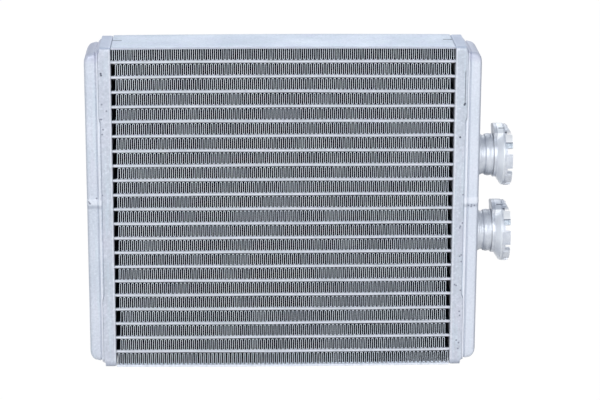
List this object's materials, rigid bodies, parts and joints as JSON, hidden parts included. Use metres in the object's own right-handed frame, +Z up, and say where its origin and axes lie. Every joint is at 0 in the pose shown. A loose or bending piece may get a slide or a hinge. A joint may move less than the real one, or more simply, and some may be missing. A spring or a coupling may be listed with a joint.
{
  "type": "heater core",
  "caption": "Brazed aluminium heater core: flat tubes and folded fins between two side tanks, with two toothed quick-fit coolant ports on one tank.",
  "frame": {"origin": "centre of the underside of the lower side plate, half way between the headers and half way through the depth", "axes": "+Z up across the tubes, X along the tubes with the ports on the +X side, Y along the air path with the pictured face towards -Y"},
  "size_m": [0.2513, 0.0376, 0.1959],
  "materials": {
    "fin_foil": "thin rolled foil, matt after brazing",
    "brazed_sheet": "matt brazed sheet with faint flux haze",
    "drawn_tank": "matt drawn sheet with faint flux haze and scuffs",
    "port_metal": "turned and milled, satin, dulled by brazing"
  },
  "bodies": {
    "root": {"left_header": "drawn_tank", "right_header": "drawn_tank", "left_tank_cap": "drawn_tank", "right_tank_cap": "drawn_tank", "tank_baffle": "brazed_sheet", "bottom_side_plate": "brazed_sheet", "top_side_plate": "brazed_sheet", "upper_port_neck": "port_metal", "lower_port_neck": "port_metal", "upper_port_crown": "port_metal", "lower_port_crown": "port_metal", "tube_01": "brazed_sheet", "tube_02": "brazed_sheet", "tube_03": "brazed_sheet", "tube_04": "brazed_sheet", "tube_05": "brazed_sheet", "tube_06": "brazed_sheet", "tube_07": "brazed_sheet", "tube_08": "brazed_sheet", "tube_09": "brazed_sheet", "tube_10": "brazed_sheet", "tube_11": "brazed_sheet", "tube_12": "brazed_sheet", "tube_13": "brazed_sheet", "tube_14": "brazed_sheet", "tube_15": "brazed_sheet", "tube_16": "brazed_sheet", "tube_17": "brazed_sheet", "tube_18": "brazed_sheet", "tube_19": "brazed_sheet", "tube_20": "brazed_sheet", "tube_21": "brazed_sheet", "fin_01": "fin_foil", "fin_02": "fin_foil", "fin_03": "fin_foil", "fin_04": "fin_foil", "fin_05": "fin_foil", "fin_06": "fin_foil", "fin_07": "fin_foil", "fin_08": "fin_foil", "fin_09": "fin_foil", "fin_10": "fin_foil", "fin_11": "fin_foil", "fin_12": "fin_foil", "fin_13": "fin_foil", "fin_14": "fin_foil", "fin_15": "fin_foil", "fin_16": "fin_foil", "fin_17": "fin_foil", "fin_18": "fin_foil", "fin_19": "fin_foil", "fin_20": "fin_foil", "fin_21": "fin_foil", "fin_22": "fin_foil"}
  },
  "joints": []
}
